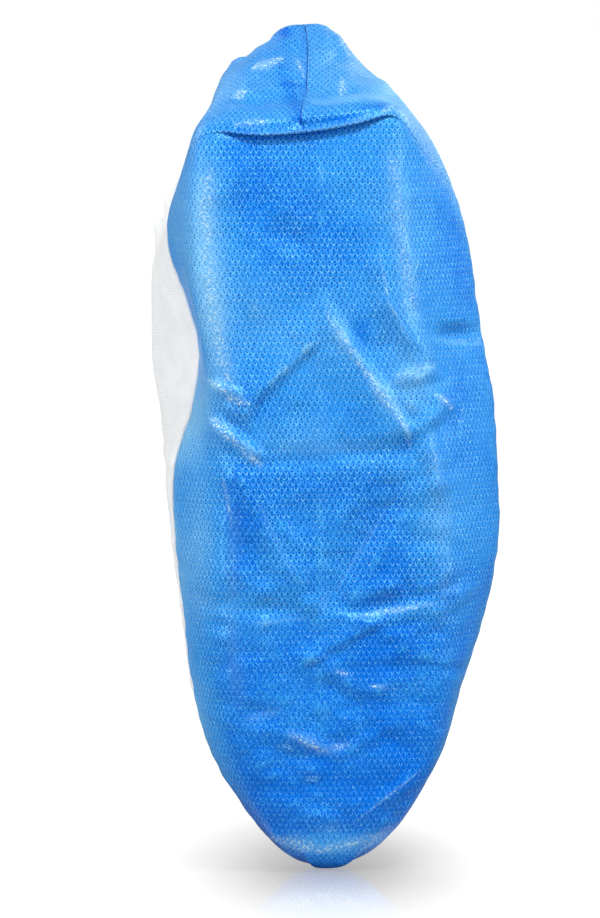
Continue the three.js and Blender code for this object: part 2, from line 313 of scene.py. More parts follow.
# Creases of the heel above the lip, in the same columns as the sole panel's.
HEEL_CREASES = [
    [-13, 315, 1, 311, -0.9, 2, 3],
    [-24, 316, -6, 323, 0.8, 5, 6],
    [-39, 306, -19, 319, 0.9, 6, 5],
    [-30, 303, -8, 308, -0.6, 4, 5],
    [5, 313, 17, 324, -0.5, 3, 3],
    [14, 304, 34, 312, 0.5, 6, 5],
    [10, 318, 30, 306, 0.6, 6, 8],
    [-34, 300, -20, 303, 0.6, 3, 4],
]
# Small pockets pressed into the panel: x, z, depth, reach.
POCKETS = [[32, 167, 1.6, 4.5], [33, 91, -0.9, 3], [10, 82, 0.7, 4], [24, 76, -0.7, 4]]
# Random crumples: seed, count, x and z range, length range, rise range, steepest slope of their lines.
CRUMPLES = [
    (1, 170, (-42, 54), (14, 118), (6, 26), (0.2, 0.75), 35),
    (2, 90, (-44, 56), (112, 214), (8, 30), (0.15, 0.55), 70),
    (3, 80, (-46, 44), (205, 284), (8, 26), (0.1, 0.35), 80),
]
HEEL_CRUMPLES = (4, 70, (-44, 40), (298, 332), (6, 20), (0.2, 0.6), 60)
CREASE_SOFTNESS = 0.35
CREASE_SCALE = 2.2


def tent(x, z, row, softness=CREASE_SOFTNESS):
    """One crease's relief in mm: a ridge along the row's line, with a slope down either side."""
    x0, z0, x1, z1, rise, left, right = row
    length = math.hypot(x1 - x0, z1 - z0)
    ax, az = (x1 - x0) / length, (z1 - z0) / length
    s = (x - x0) * ax + (z - z0) * az
    d = ax * (z - z0) - az * (x - x0)
    reach = np.where(d > 0, left, right)
    aside = (np.sqrt(d * d + softness * softness) - softness) / reach
    end = min(0.35 * length, 6)
    ends = smooth((s + end) / (2 * end)) * smooth((length + end - s) / (2 * end))
    return rise * ends * np.clip(1 - aside, 0, 1)


def crumple_rows(seed, count, xs, zs, lengths, rises, steepest):
    """Small random creases, as rows in the creases' own columns."""
    rng = np.random.default_rng(seed)
    for _ in range(count):
        x, z = rng.uniform(*xs), rng.uniform(*zs)
        length, angle = rng.uniform(*lengths), math.radians(rng.uniform(-steepest, steepest))
        rise = rng.uniform(*rises) * rng.choice([-1, 1])
        dx, dz = length / 2 * math.cos(angle), length / 2 * math.sin(angle)
        yield [x - dx, z - dz, x + dx, z + dz, rise, rng.uniform(2, 7), rng.uniform(2, 7)]


def sole_relief(x, z):
    total = CREASE_SCALE * sum(tent(x, z, row) for row in CREASES)
    for px, pz, depth, reach in POCKETS:
        total = total - depth * np.exp(-((x - px) ** 2 + (z - pz) ** 2) / reach ** 2)
    for crumple in CRUMPLES:
        total = total + sum(tent(x, z, row, 0.4) for row in crumple_rows(*crumple))
    return total


def glints(v, p):
    """How much painted glint the film gets at each point, from 0 to about 1."""
    x, z = p[..., 0], p[..., 2]
    total = 0 * x
    for x0, z0, x1, z1, half, amount in GLINTS:
        length = math.hypot(x1 - x0, z1 - z0)
        ax, az = (x1 - x0) / length, (z1 - z0) / length
        along = (x - x0) * ax + (z - z0) * az
        aside = np.abs(ax * (z - z0) - az * (x - x0))
        t = np.clip(along / length, 0, 1)
        beyond = np.maximum(-along, along - length)
        leaf = half * (0.35 + 0.65 * np.sin(np.pi * t))
        total = np.maximum(total, amount * np.exp(-(aside / leaf) ** 2) * smooth(1 - beyond / 1.5))
    for side, low, high, half, amount in EDGE_GLINTS:
        at = np.abs(v - side * 2.0)
        edge = np.take_along_axis(arc(p, 1), np.argmin(at, axis=1)[:, None], axis=1)
        aside = np.abs(arc(p, 1) - edge)
        ends = smooth((z - low) / 20) * smooth((high - z) / 12)
        total = np.maximum(total, amount * ends * np.exp(-(aside / half) ** 2))
    return total


def heel_relief(x, z):
    total = sum(tent(x, z, row) for row in HEEL_CREASES)
    return total + sum(tent(x, z, row, 0.4) for row in crumple_rows(*HEEL_CRUMPLES))


def ripples(s, seed, wavelengths):
    """A smooth random wave along s, mostly between -1 and 1."""
    rng = np.random.default_rng(seed)
    waves = [np.sin(2 * math.pi * s / w + rng.uniform(0, 2 * math.pi)) for w in wavelengths]
    return sum(waves) / math.sqrt(len(waves))


# Thin cloth shells. At the toe's tip, up to ring TIP_END, they thin to TIP_SHARE, and up to ring TIP their normals
# are the nearby skin's.
CLOTH = 0.5
TIP, TIP_END, TIP_SHARE = 0.6, 1.5, 0.3


def thickness(u):
    return (CLOTH * (TIP_SHARE + (1 - TIP_SHARE) * smooth(u / TIP_END)))[..., None]


def normals(p, u):
    """Outward normals of a grid of points; at the toe's tip, where the loops are a slit, the nearby skin's."""
    du = np.gradient(p, axis=0)
    dv = np.gradient(p, axis=1)
    n = np.cross(dv, du)
    n /= np.linalg.norm(n, axis=-1, keepdims=True)
    first = int(np.searchsorted(u[:, 0], TIP))
    n[:first] = n[first]
    return n


def even_rows(make, v, step):
    """Ring numbers that are step apart along the skin at v."""
    u = np.linspace(0, LAST, 6000)[:, None]
    p = make(u, np.full_like(u, v))[:, 0]
    run = np.concatenate([[0], np.cumsum(np.linalg.norm(np.diff(p, axis=0), axis=1))])
    return np.interp(np.linspace(0, run[-1], int(run[-1] / step) + 1), run, u[:, 0])


def arc(p, axis):
    d = np.linalg.norm(np.diff(p, axis=axis), axis=-1)
    zero = np.zeros_like(np.take(d, [0], axis=axis))
    return np.concatenate([zero, np.cumsum(d, axis=axis)], axis=axis)


def cloth_coordinates(p, heel=None):
    """Where each point lies in the flat cloth, in mm: along its width from the middle, and along its length.

    Above the row heel, the cloth's length follows the skin up from that row instead of the object's height.
    """
    middle = p.shape[1] // 2
    run = arc(p[:, middle:middle + 1], 0)
    lengthways = run + (p[..., 2] - p[:, middle:middle + 1, 2])
    step = np.linalg.norm(np.diff(p, axis=1), axis=-1)
    across = np.sqrt(np.maximum(step ** 2 - np.diff(lengthways, axis=1) ** 2, (0.3 * step) ** 2))
    widthways = np.concatenate([np.zeros((len(p), 1)), np.cumsum(across, axis=1)], axis=1)
    if heel is not None:
        up = arc(p, 0)
        lengthways[heel:] = lengthways[heel, middle] + (up[heel:] - up[heel])
        turn = smooth((np.arange(len(p)) - heel) / 12)[:, None]
        widthways = widthways + (arc(p, 1) - widthways) * turn
    return widthways - widthways[:, middle:middle + 1], lengthways


def write_attribute(mesh, name, values):
    """Writes three lists of numbers, one for each point of the mesh, as a vector that a material can read."""
    vectors = np.stack(values, -1).astype(np.float32)
    mesh.attributes.new(name, "FLOAT_VECTOR", "POINT").data.foreach_set("vector", vectors.ravel())


def shell(name, outer, inner, origin, fields, painted_sheen_and_shade=None, painted_glint=None, closed=False):
    """A closed thin shell from two grids of points in mm.

    fields are grids of the cloth's width and length and of how sharply it is creased. closed joins the grid's
    last column to its first.
    """
    rows, columns = outer.shape[:2]
    points = np.concatenate([outer.reshape(-1, 3), inner.reshape(-1, 3)]) * MM + origin
    at = np.arange(rows * columns).reshape(rows, columns)
    ahead = np.roll(at, -1, axis=1) if closed else at[:, 1:]
    here = at if closed else at[:, :-1]
    top = np.stack([here[:-1], ahead[:-1], ahead[1:], here[1:]], -1).reshape(-1, 4)
    under = rows * columns
    quads = [top, top[:, ::-1] + under]
    for row, flip in ((0, False), (-1, True)):
        edge = np.stack([here[row], here[row] + under, ahead[row] + under, ahead[row]], -1)
        quads.append(edge[:, ::-1] if flip else edge)
    if not closed:
        for column, flip in ((0, True), (-1, False)):
            a, b = at[:-1, column], at[1:, column]
            edge = np.stack([a, a + under, b + under, b], -1)
            quads.append(edge[:, ::-1] if flip else edge)
    mesh = bpy.data.meshes.new(name)
    mesh.from_pydata(points.tolist(), [], np.concatenate(quads).tolist())
    mesh.shade_smooth()
    inside = np.repeat([0.0, 1.0], rows * columns)
    painted_sheen_and_shade, painted_glint = (np.zeros((rows, columns)) if f is None else f for f in (painted_sheen_and_shade, painted_glint))
    write_attribute(mesh, "cloth", [np.tile(f.ravel(), 2) for f in fields])
    # Each point's face, inner or outer, its painted sheen and shade, and its painted glint.
    write_attribute(mesh, "face_and_painted_light", [inside, np.tile(painted_sheen_and_shade.ravel(), 2), np.tile(painted_glint.ravel(), 2)])
    piece = bpy.data.objects.new(name, mesh)
    bpy.context.scene.collection.objects.link(piece)
    return piece


def ridges(height, down, across):
    """How sharply a relief stands up in a ridge, from 0 to 1. down and across are the arcs of its grid."""
    bend = np.zeros_like(height)
    for axis, run in ((0, down), (1, across)):
        step = np.maximum(np.gradient(run, axis=axis), 0.2)
        slope = np.gradient(height, axis=axis) / step
        bend = bend - np.gradient(slope, axis=axis) / step
    return np.clip(bend / 0.35, 0, 1)


# The two panels stay SEAM_GAP apart along the seam, and TIP_GAP more at the toe's tip. Along the seam, but not at
# the tip, each panel's edge rolls inwards by ROLL_DEPTH, over about ROLL_REACH.
SEAM_GAP, TIP_GAP, SEAM_PROBE = 0.3, 0.7, 0.1
ROLL_DEPTH, ROLL_REACH = 1.0, 1.1
# The grids' spacing along the panels in mm, and the sole panel's columns: how many, how much they crowd round the
# pleat, and the share of the width between the last column before it and the pleat's line.
SOLE_STEP, UPPER_STEP = 1.232, 1.32
SOLE_COLUMNS, SOLE_CROWDING, SOLE_GAP = 137, 0.35, 0.0006
UPPER_COLUMNS = 150


def seam_margin(u):
    """How far from the seam a panel ends, in control points round."""
    near = bare_skin(u, np.full_like(u, SEAM - SEAM_PROBE)), bare_skin(u, np.full_like(u, SEAM + SEAM_PROBE))
    gap = SEAM_GAP + TIP_GAP * (1 - smooth(u / TIP))
    return (0.5 * gap * (2 * SEAM_PROBE)) / np.linalg.norm(near[1] - near[0], axis=-1)


def seam_roll(edge, u):
    """How far a panel's edge rolls inwards, edge mm from the seam."""
    return -ROLL_DEPTH * np.exp(-(edge / ROLL_REACH) ** 2) * smooth(u / TIP_END)


def puckers(run, edge, seed, wavelengths, reach, rise):
    """The small waves that the stitching pulls along the seam."""
    return ripples(run + 0.1 * edge, seed, wavelengths) * np.exp(-edge / reach) * rise


# Where the heel's rim is pulled out of its smooth line: x, z, reach, shift in x, shift in z.
RIM_PULLS = [
    [-15, 337, 10, 0, -3.4],
    [-44, 314, 13, 4.5, -1.0],
    [-35, 326, 8, 2.0, -1.0],
    [10, 329, 6, 0, 1.6],
    [4, 337, 8, 0, -1.6],
    [21, 327, 7, 2.2, 1.2],
]
RIM_PULLS_START = 16


def heel_share(v):
    """1 at the sole panel's middle, falling to 0 at its seams and beyond them."""
    from_middle = (v + HALF) % LOOP - HALF
    return np.maximum(0, 1 - (from_middle / SEAM) ** 2)


def heel_skin(u, v):
    """The skin with the heel's lip, drifting pleat and uneven rim."""
    p = lip(bare_skin(u, v + pleat_line(u) * heel_share(v)), u)
    x, z = p[..., 0], p[..., 2]
    pulls = 0
    for px, pz, reach, dx, dz in RIM_PULLS:
        pulls = pulls + np.exp(-((x - px) ** 2 + (z - pz) ** 2) / reach ** 2)[..., None] * [dx, 0, dz]
    return p + pulls * smooth(u - RIM_PULLS_START)[..., None]


def crowded(count, pull, gap):
    """Shares from 0 to 1 that crowd round the middle; the last one before it keeps only a small gap."""
    t = np.linspace(-1, 1, count)
    share = 0.5 + 0.5 * ((1 - pull) * t + pull * t ** 3)
    share[count // 2 - 1] = 0.5 - gap
    return share


def panel_grid(make, start, end, rows, shares):
    """The grid of a panel that runs round from start to end, short of them by the seam's gap."""
    u = rows[:, None] + np.zeros((1, len(shares)))
    margin = seam_margin(rows[:, None])
    v = start + margin + (end - start - 2 * margin) * shares[None]
    return u, v, make(u, v)


def edge_distance(p):
    """Distance of each point to the nearer long edge of its grid, in mm."""
    run = arc(p, 1)
    return np.minimum(run, run[:, -1:] - run)


# Painted sheen on facets and bands that face the lights, and painted shade on facets and pockets that face away
# where the amount is below 0: x, z, reach across, reach up, amount.
PAINTED_LIGHT_PATCHES = [
    [-48, 262, 9, 40, 0.3],
    [-45, 205, 10, 34, 0.3],
    [-30, 225, 16, 24, 0.12],
    [12, 222, 20, 20, 0.16],
    [33, 262, 14, 34, 0.14],
    [36, 185, 9, 34, 0.14],
    [-20, 172, 24, 9, 0.16],
    [-47, 130, 8, 45, 0.3],
    [-32, 138, 7, 15, -0.12],
    [46, 140, 10, 30, 0.2],
    [16, 214, 4.5, 10, -0.26],
    [35, 171, 4.5, 4, -0.24],
    [-18, 214, 13, 15, 0.1],
    [38, 196, 8, 11, 0.12],
    [26, 190, 5, 9, 0.16],
    [9, 212, 4, 7, 0.12],
    [12, 168, 20, 10, 0.12],
    [30, 104, 26, 4, 0.12],
    [3, 12, 20, 5, 0.3],
    [-30, 108, 24, 4, 0.1],
]
# Painted shade on the heel's film, in the same columns: beside the pleat, in its notch, on the roll above the lip,
# and in the crease left of the pleat.
PAINTED_SHADE_PATCHES = [
    [-8.5, 307, 3.5, 13, 0.22],
    [-4, 333, 3.5, 5, 0.3],
    [8, 298, 12, 2.2, 0.2],
    [22, 303, 9, 2.4, 0.26],
    [-8, 311.2, 4.5, 0.8, 0.3],
]


def painted_light_grid(p, u, flat):
    """Painted sheen and shade: least on the toe's deep blue, more up the sole, on the sides and heel."""
    x, z = p[..., 0], p[..., 2]
    # Painted sheen that grows from the toe towards the top, where more light falls.
    painted_sheen_and_shade = 0.02 + 0.12 * smooth((z - 50) / 120)
    for px, pz, across, up, amount in PAINTED_LIGHT_PATCHES:
        painted_sheen_and_shade = painted_sheen_and_shade + amount * flat * np.exp(-((x - px) / across) ** 2 - ((z - pz) / up) ** 2)
    # Painted sheen on the sides, whose ridges catch the lights, and on the heel flap, which faces up.
    side = (0.55 - 0.27 * (x < 0) * smooth((z - 165) / 40)) * (1 - flat) * smooth((z - 15) / 50)
    heel = 0.16 * smooth((u - 15.9) / 0.5)
    painted_sheen_and_shade = painted_sheen_and_shade + np.maximum(side, heel)
    # Painted shade beside the pleat, in its notch, on the lip's roll and in the flap's crease.
    for px, pz, across, up, amount in PAINTED_SHADE_PATCHES:
        painted_sheen_and_shade = painted_sheen_and_shade - amount * np.exp(-((x - px) / across) ** 2 - ((z - pz) / up) ** 2) * (u > LIP_FOLD[2, 0])
    return np.maximum(painted_sheen_and_shade, 0)


# Gathers that the elastic pulls into the cloth at the opening.
GATHER_RISE, GATHER_PITCH, GATHER_REACH = 1.0, (9.7, 12.9, 16.3), 14.0


def gathers(p, seed):
    """Waves round the opening, which fade away below it."""
    to_rim = arc(p, 0)[-1:] - arc(p, 0)
    along = arc(p[-1:], 1) + 0 * to_rim
    return GATHER_RISE * ripples(along, seed, GATHER_PITCH) * np.exp(-to_rim / GATHER_REACH)


# The ring just above the lip's groove, from which the cloth's length follows the heel. The sole's creases end at
# ring SOLE_END, and the heel's begin at HEEL_START.
HEEL_ROW, SOLE_END, HEEL_START = 15.86, 15.2, 16.3


def sole_panel(origin):
    rows = even_rows(heel_skin, 0.0, SOLE_STEP)
    shares = crowded(SOLE_COLUMNS, SOLE_CROWDING, SOLE_GAP)
    u, v, p = panel_grid(heel_skin, -SEAM, SEAM, rows, shares)
    n = normals(p, u)
    flat = smooth(-n[..., 1] * 1.6)
    edge = edge_distance(p)
    run = arc(p, 0)
    relief = sole_relief(p[..., 0], p[..., 2]) * flat * smooth((SOLE_END - u) / 0.5)
    relief = relief + heel_relief(p[..., 0], p[..., 2]) * smooth((u - HEEL_START) / 0.4) * smooth(edge / 10)
    pucker = puckers(run, edge, 11, (8.3, 11.9, 15.7, 26), 9, 0.22)
    swell = ripples(run, 12, (37, 61, 90)) * smooth(edge / 12) * 0.3
    gather = gathers(p, 13) * smooth((np.abs(v) - 1.6) / 1.2) * smooth(edge / 4)
    relief = relief + pucker * smooth(edge / 2) + swell + seam_roll(edge, u) + gather
    outer, inner = pleat(p + n * relief[..., None], u, n, len(shares) // 2)
    width, length = cloth_coordinates(p, int(np.searchsorted(rows, HEEL_ROW)))
    fields = width, length, ridges(relief, run, arc(p, 1))
    # Painted glints, with a painted highlight along the lip's edge.
    painted_glint = glints(v, p)
    painted_glint = np.maximum(painted_glint, 0.4 * lip_share(p) * np.exp(-((u - LIP_FOLD[2, 0] - 0.02) / 0.04) ** 2))
    return shell("sole_cloth", outer, inner, origin, fields, painted_light_grid(p, u, flat), painted_glint)


# Folds of the upper, in its flat cloth's width and length: w0, l0, w1, l1, rise, left, right.
UPPER_FOLDS = [
    [-12, 196, -44, 120, 1.3, 9, 14],
    [10, 198, 40, 128, 1.2, 14, 9],
    [-2, 190, 6, 110, 0.9, 12, 10],
    [-34, 205, -74, 168, 1.1, 8, 10],
    [32, 206, 72, 172, 1.1, 10, 8],
    [-30, 160, 26, 152, -0.9, 7, 9],
    [-22, 120, 34, 128, -0.7, 6, 8],
    [-36, 60, 4, 52, 0.7, 8, 6],
    [2, 74, 38, 66, 0.7, 6, 8],
    [-60, 140, -40, 90, 0.8, 7, 9],
    [62, 146, 44, 92, 0.8, 9, 7],
]
# No fold of the upper goes deeper than this, which keeps it clear of the tape.
DEEPEST_FOLD = -1.3
UPPER_CRUMPLES = (5, 90, (-85, 85), (15, 205), (8, 34), (0.12, 0.5), 85)


def upper_panel(origin):
    rows = even_rows(bare_skin, HALF, UPPER_STEP)
    rows = np.unique(np.concatenate([rows, np.linspace(rows[-2], LAST, 6)]))
    u, v, p = panel_grid(bare_skin, SEAM, LOOP - SEAM, rows, np.linspace(0, 1, UPPER_COLUMNS))
    n = normals(p, u)
    edge = edge_distance(p)
    run = arc(p, 0)
    width, length = cloth_coordinates(p)
    folds = sum(tent(width, length, row, 1.6) for row in UPPER_FOLDS)
    folds = folds + sum(tent(width, length, row, 0.8) for row in crumple_rows(*UPPER_CRUMPLES))
    pucker = puckers(run, edge, 21, (7.9, 11.3, 14.9, 24), 10, 0.3)
    below_rim = smooth((run[-1:] - run) / 30)
    relief = pucker * smooth(edge / 2) + seam_roll(edge, u) + folds * smooth(edge / 12) * (0.3 + 0.7 * below_rim)
    relief = np.maximum(relief + gathers(p, 22) * smooth(edge / 4), DEEPEST_FOLD)
    outer = p + n * relief[..., None]
    n = normals(outer, u)
    return shell("upper_cloth", outer, outer - n * thickness(u), origin, (width, length, 0 * width))


# The tape lies from TAPE_LOW to TAPE_HIGH below the rim, TAPE_CLEAR inside the skin and TAPE_UNDER_PLEAT further
# in under the pleat. It waves by TAPE_WAVE.
TAPE_LOW, TAPE_HIGH, TAPE_ROWS, TAPE_COLUMNS = 9, 1, 7, 240
TAPE_CLEAR, TAPE_UNDER_PLEAT, TAPE_WAVE, TAPE_THICK = 3.1, 3.2, 0.25, 0.8
PROBE = 0.02


def elastic(origin):
    v = np.linspace(0, LOOP, TAPE_COLUMNS, endpoint=False)
    dense = np.linspace(LAST, 10, 900)[:, None] + np.zeros((1, len(v)))
    run = arc(bare_skin(dense, v[None] + np.zeros_like(dense)), 0)
    u = np.stack([
        [np.interp(below, run[:, j], dense[:, j]) for j in range(len(v))]
        for below in np.linspace(TAPE_LOW, TAPE_HIGH, TAPE_ROWS)
    ])
    v = v[None] + np.zeros_like(u)
    du = bare_skin(np.minimum(u + PROBE, LAST), v) - bare_skin(u - PROBE, v)
    dv = bare_skin(u, v + PROBE) - bare_skin(u, v - PROBE)
    n = np.cross(dv, du)
    n /= np.linalg.norm(n, axis=-1, keepdims=True)
    p = heel_skin(u, v)
    around = arc(p, 1)
    wave = ripples(around, 31, (9.1, 12.7)) * TAPE_WAVE
    outer = p - n * (TAPE_CLEAR + TAPE_UNDER_PLEAT * heel_share(v) + wave)[..., None]
    fields = around, arc(p, 0), 0 * around
    return shell("elastic_tape", outer, outer - n * TAPE_THICK, origin, fields, closed=True)


# Procedural materials.
class Graph:
    """A material's node tree, with nodes made by short calls.

    A keyword names an input socket, with _ for a space, and i0, i1 and so on is the socket's number.
    """

    def __init__(self, name):
        self.material = bpy.data.materials.new(name)
        self.material.use_nodes = True
        self.tree = self.material.node_tree
        self.shader = self.tree.nodes["Principled BSDF"]

    def node(self, kind, settings=None, **inputs):
        made = self.tree.nodes.new("ShaderNode" + kind)
        for key, value in (settings or {}).items():
            setattr(made, key, value)
        for key, value in inputs.items():
            numbered = key[0] == "i" and key[1:].isdigit()
            self.feed(made.inputs[int(key[1:]) if numbered else key.replace("_", " ")], value)
        return made

    def feed(self, socket, value):
        if isinstance(value, bpy.types.NodeSocket):
            self.tree.links.new(value, socket)
        else:
            socket.default_value = value

    def math(self, operation, *values):
        made = self.tree.nodes.new("ShaderNodeMath")
        made.operation = operation
        for socket, value in zip(made.inputs, values):
            self.feed(socket, value)
        return made.outputs[0]

    def ramp(self, value, low, high, to_low=0.0, to_high=1.0):
        made = self.tree.nodes.new("ShaderNodeMapRange")
        made.interpolation_type = "SMOOTHSTEP"
        for socket, v in zip(made.inputs, (value, low, high, to_low, to_high)):
            self.feed(socket, v)
        return made.outputs[0]

    def mix(self, factor, a, b):
        made = self.tree.nodes.new("ShaderNodeMix")
        made.data_type = "RGBA"
        self.feed(made.inputs["Factor"], factor)
        self.feed(made.inputs["A"], a)
        self.feed(made.inputs["B"], b)
        return made.outputs["Result"]

    def noise(self, vector, scale, detail=2.0):
        return self.node("TexNoise", Vector=vector, Scale=scale, Detail=detail).outputs["Fac"]

    def attribute(self, name, output):
        return self.node("Attribute", {"attribute_name": name}).outputs[output]

    def bump(self, height, distance, normal=None):
        made = self.node("Bump", Height=height, Distance=distance, Strength=1.0)
        if normal is not None:
            self.feed(made.inputs["Normal"], normal)
        return made.outputs["Normal"]

    def surface(self, **inputs):
        for key, value in inputs.items():
            self.feed(self.shader.inputs[key.replace("_", " ")], value)


def srgb(r, g, b):
    return tuple(((c / 255 + 0.055) / 1.055) ** 2.4 if c > 10 else c / 255 / 12.92 for c in (r, g, b)) + (1.0,)


def staggered(g, width, length, pitch_w, pitch_l):
    """Coordinates within the cells of a brick-like lattice: (along the width, along the length), -0.5 to 0.5."""
    row = g.math("DIVIDE", length, pitch_l)
    shift = g.math("MULTIPLY", g.math("MODULO", g.math("FLOOR", row), 2.0), 0.5)
    column = g.math("ADD", g.math("DIVIDE", width, pitch_w), shift)
    return (g.math("SUBTRACT", g.math("FRACT", column), 0.5), g.math("SUBTRACT", g.math("FRACT", row), 0.5))


def distance(g, x, y):
    return g.math("SQRT", g.math("ADD", g.math("MULTIPLY", x, x), g.math("MULTIPLY", y, y)))


# The emboss: pairs of small pits on a brick-like lattice, with a light V between the pairs, in mm.
PIT_WIDTH, PIT_LENGTH, PIT_APART = 2.33, 2.15, 0.62
V_START, V_SLOPE = 0.33, 1.6


def emboss(g, width, length):
    """The pits and the light V's, each from 0 to 1."""
    x, y = staggered(g, width, length, PIT_WIDTH, PIT_LENGTH)
    across = g.math("MULTIPLY", g.math("ABSOLUTE", x), PIT_WIDTH)
    along = g.math("MULTIPLY", y, PIT_LENGTH)
    off = g.math("ABSOLUTE", g.math("SUBTRACT", g.math("ABSOLUTE", along), PIT_APART))
    pit = g.ramp(g.math("ADD", g.math("DIVIDE", across, 0.45), g.math("DIVIDE", off, 0.5)), 0.5, 1.3, 1.0, 0.0)
    low = g.math("SUBTRACT", along, g.math("MULTIPLY", across, V_SLOPE))
    low = g.ramp(g.math("ABSOLUTE", g.math("ADD", low, PIT_LENGTH - V_START)), 0.12, 0.5, 1.0, 0.0)
    low = g.math("MULTIPLY", low, g.ramp(across, 0.6, 0.9, 1.0, 0.0))
    high = g.math("ADD", along, g.math("MULTIPLY", across, V_SLOPE))
    high = g.math("SUBTRACT", high, V_START + V_SLOPE * PIT_WIDTH / 2)
    high = g.ramp(g.math("ABSOLUTE", high), 0.12, 0.5, 1.0, 0.0)
    return pit, g.math("MAXIMUM", low, high)


# The film's colours: deep blue, middle and painted sheen, the lattice between the pits in deep blue and in painted
# sheen, the pits, painted sparkles, painted glints and their specks, and the panel's inner face.
FILM_DEEP, FILM_MIDDLE, FILM_PAINTED_SHEEN = srgb(0, 104, 216), srgb(44, 144, 230), srgb(146, 212, 242)
LATTICE_DEEP, LATTICE_PAINTED_SHEEN, PIT_COLOUR = srgb(88, 188, 246), srgb(184, 232, 248), srgb(0, 74, 166)
PAINTED_SPARKLE_COLOUR, PAINTED_GLINT_COLOUR, GLINT_SPECK_COLOUR = srgb(196, 236, 246), srgb(156, 206, 236), srgb(216, 242, 240)
INNER_FACE = srgb(214, 226, 240)
# A MODULO node needs coordinates above 0: this many mm are added to them.
ALWAYS_ABOVE = 1000.0


def film_material():
    g = Graph("embossed_film")
    cloth = g.node("SeparateXYZ", Vector=g.attribute("cloth", "Vector")).outputs
    face_and_painted_light = g.node("SeparateXYZ", Vector=g.attribute("face_and_painted_light", "Vector")).outputs
    inside, painted_sheen_and_shade, painted_glint = face_and_painted_light[0], face_and_painted_light[1], face_and_painted_light[2]
    place = g.node("TexCoord").outputs["Object"]
    broad = g.noise(place, 22.0, 3.0)
    patch = g.noise(place, 75.0, 3.0)
    fine = g.noise(place, 1500.0, 2.0)
    jitter = g.math("MULTIPLY", g.math("SUBTRACT", g.noise(place, 600.0, 1.0), 0.5), 1.0)
    width = g.math("ADD", g.math("ADD", cloth[0], ALWAYS_ABOVE), jitter)
    length = g.math("ADD", g.math("ADD", cloth[1], ALWAYS_ABOVE), jitter)
    pit, vee = emboss(g, width, length)
    strength = g.math("MULTIPLY", g.ramp(patch, 0.3, 0.65, 0.6, 1.0), g.ramp(painted_sheen_and_shade, 0.1, 0.6, 1.0, 0.75))
    strength = g.math("MULTIPLY", strength, g.ramp(painted_glint, 0.1, 0.8, 1.0, 0.3))
    strength = g.math("MULTIPLY", strength, g.ramp(painted_sheen_and_shade, 0.02, 0.12, 0.65, 1.0))
    vee = g.math("MULTIPLY", vee, g.ramp(g.noise(place, 430.0, 1.0), 0.3, 0.7, 0.4, 1.2))
    # The film's light: its painted sheen and shade, random tone, and the crests' whitening and painted highlight.
    light = g.math("ADD", painted_sheen_and_shade, g.ramp(broad, 0.35, 0.65, -0.07, 0.08))
    light = g.math("ADD", light, g.ramp(fine, 0.3, 0.7, -0.1, 0.12))
    # Creased crests lighten: partly the film's whitening, partly a painted highlight where they catch the light.
    crease_whitening_and_highlight = g.math("MULTIPLY", cloth[2], g.ramp(g.noise(place, 160.0, 2.0), 0.45, 0.65, 0.0, 0.3))
    light = g.math("ADD", light, crease_whitening_and_highlight)
    # From deep blue to painted sheen; the lattice too is lighter in the painted sheen.
    base = g.mix(g.ramp(light, 0.0, 0.22), FILM_DEEP, FILM_MIDDLE)
    base = g.mix(g.ramp(light, 0.22, 1.0), base, FILM_PAINTED_SHEEN)
    lattice = g.mix(painted_sheen_and_shade, LATTICE_DEEP, LATTICE_PAINTED_SHEEN)
    base = g.mix(g.math("MULTIPLY", g.math("MULTIPLY", vee, strength), 0.8), base, lattice)
    base = g.mix(g.math("MULTIPLY", g.math("MULTIPLY", pit, strength), 0.95), base, PIT_COLOUR)
    # Painted sparkles: bright specks on the lattice's V's, where the emboss catches the light.
    painted_sparkle = g.math("MULTIPLY", vee, g.ramp(g.noise(place, 1700.0, 1.0), 0.6, 0.72, 0.0, 0.5))
    base = g.mix(painted_sparkle, base, PAINTED_SPARKLE_COLOUR)
    # Painted glints: milky film with bright specks where facets and edges catch the lights.
    base = g.mix(g.math("MULTIPLY", painted_glint, 0.3), base, PAINTED_GLINT_COLOUR)
    glint_speck = g.math("MULTIPLY", g.ramp(painted_glint, 0.15, 0.7), g.ramp(g.noise(place, 1150.0, 1.0), 0.54, 0.6))
    base = g.mix(g.math("MULTIPLY", glint_speck, 0.9), base, GLINT_SPECK_COLOUR)
    base = g.mix(inside, base, INNER_FACE)
    rough = g.math("ADD", g.ramp(patch, 0.3, 0.7, 0.16, 0.3), g.math("MULTIPLY", inside, 0.4))
    rough = g.math("ADD", rough, g.ramp(painted_sheen_and_shade, 0.1, 0.5, 0.0, 0.14))
    height = g.math("ADD", g.math("SUBTRACT", g.math("MULTIPLY", fine, 0.6), pit), g.math("MULTIPLY", vee, 0.5))
    crumple = g.bump(g.noise(place, 260.0, 4.0), 0.0004)
    g.surface(Base_Color=base, Roughness=rough, Normal=g.bump(height, 0.00011, crumple))
    g.surface(Specular_IOR_Level=0.45, Specular_Tint=(0.3, 0.8, 1.0, 1.0))
    return g.material


# Spacing of the spunbond's bond dots and of the tape's ribs, across and along, in mm.
DOT_PITCH, RIB_PITCH = (1.5, 0.9), (1.4, 0.9)


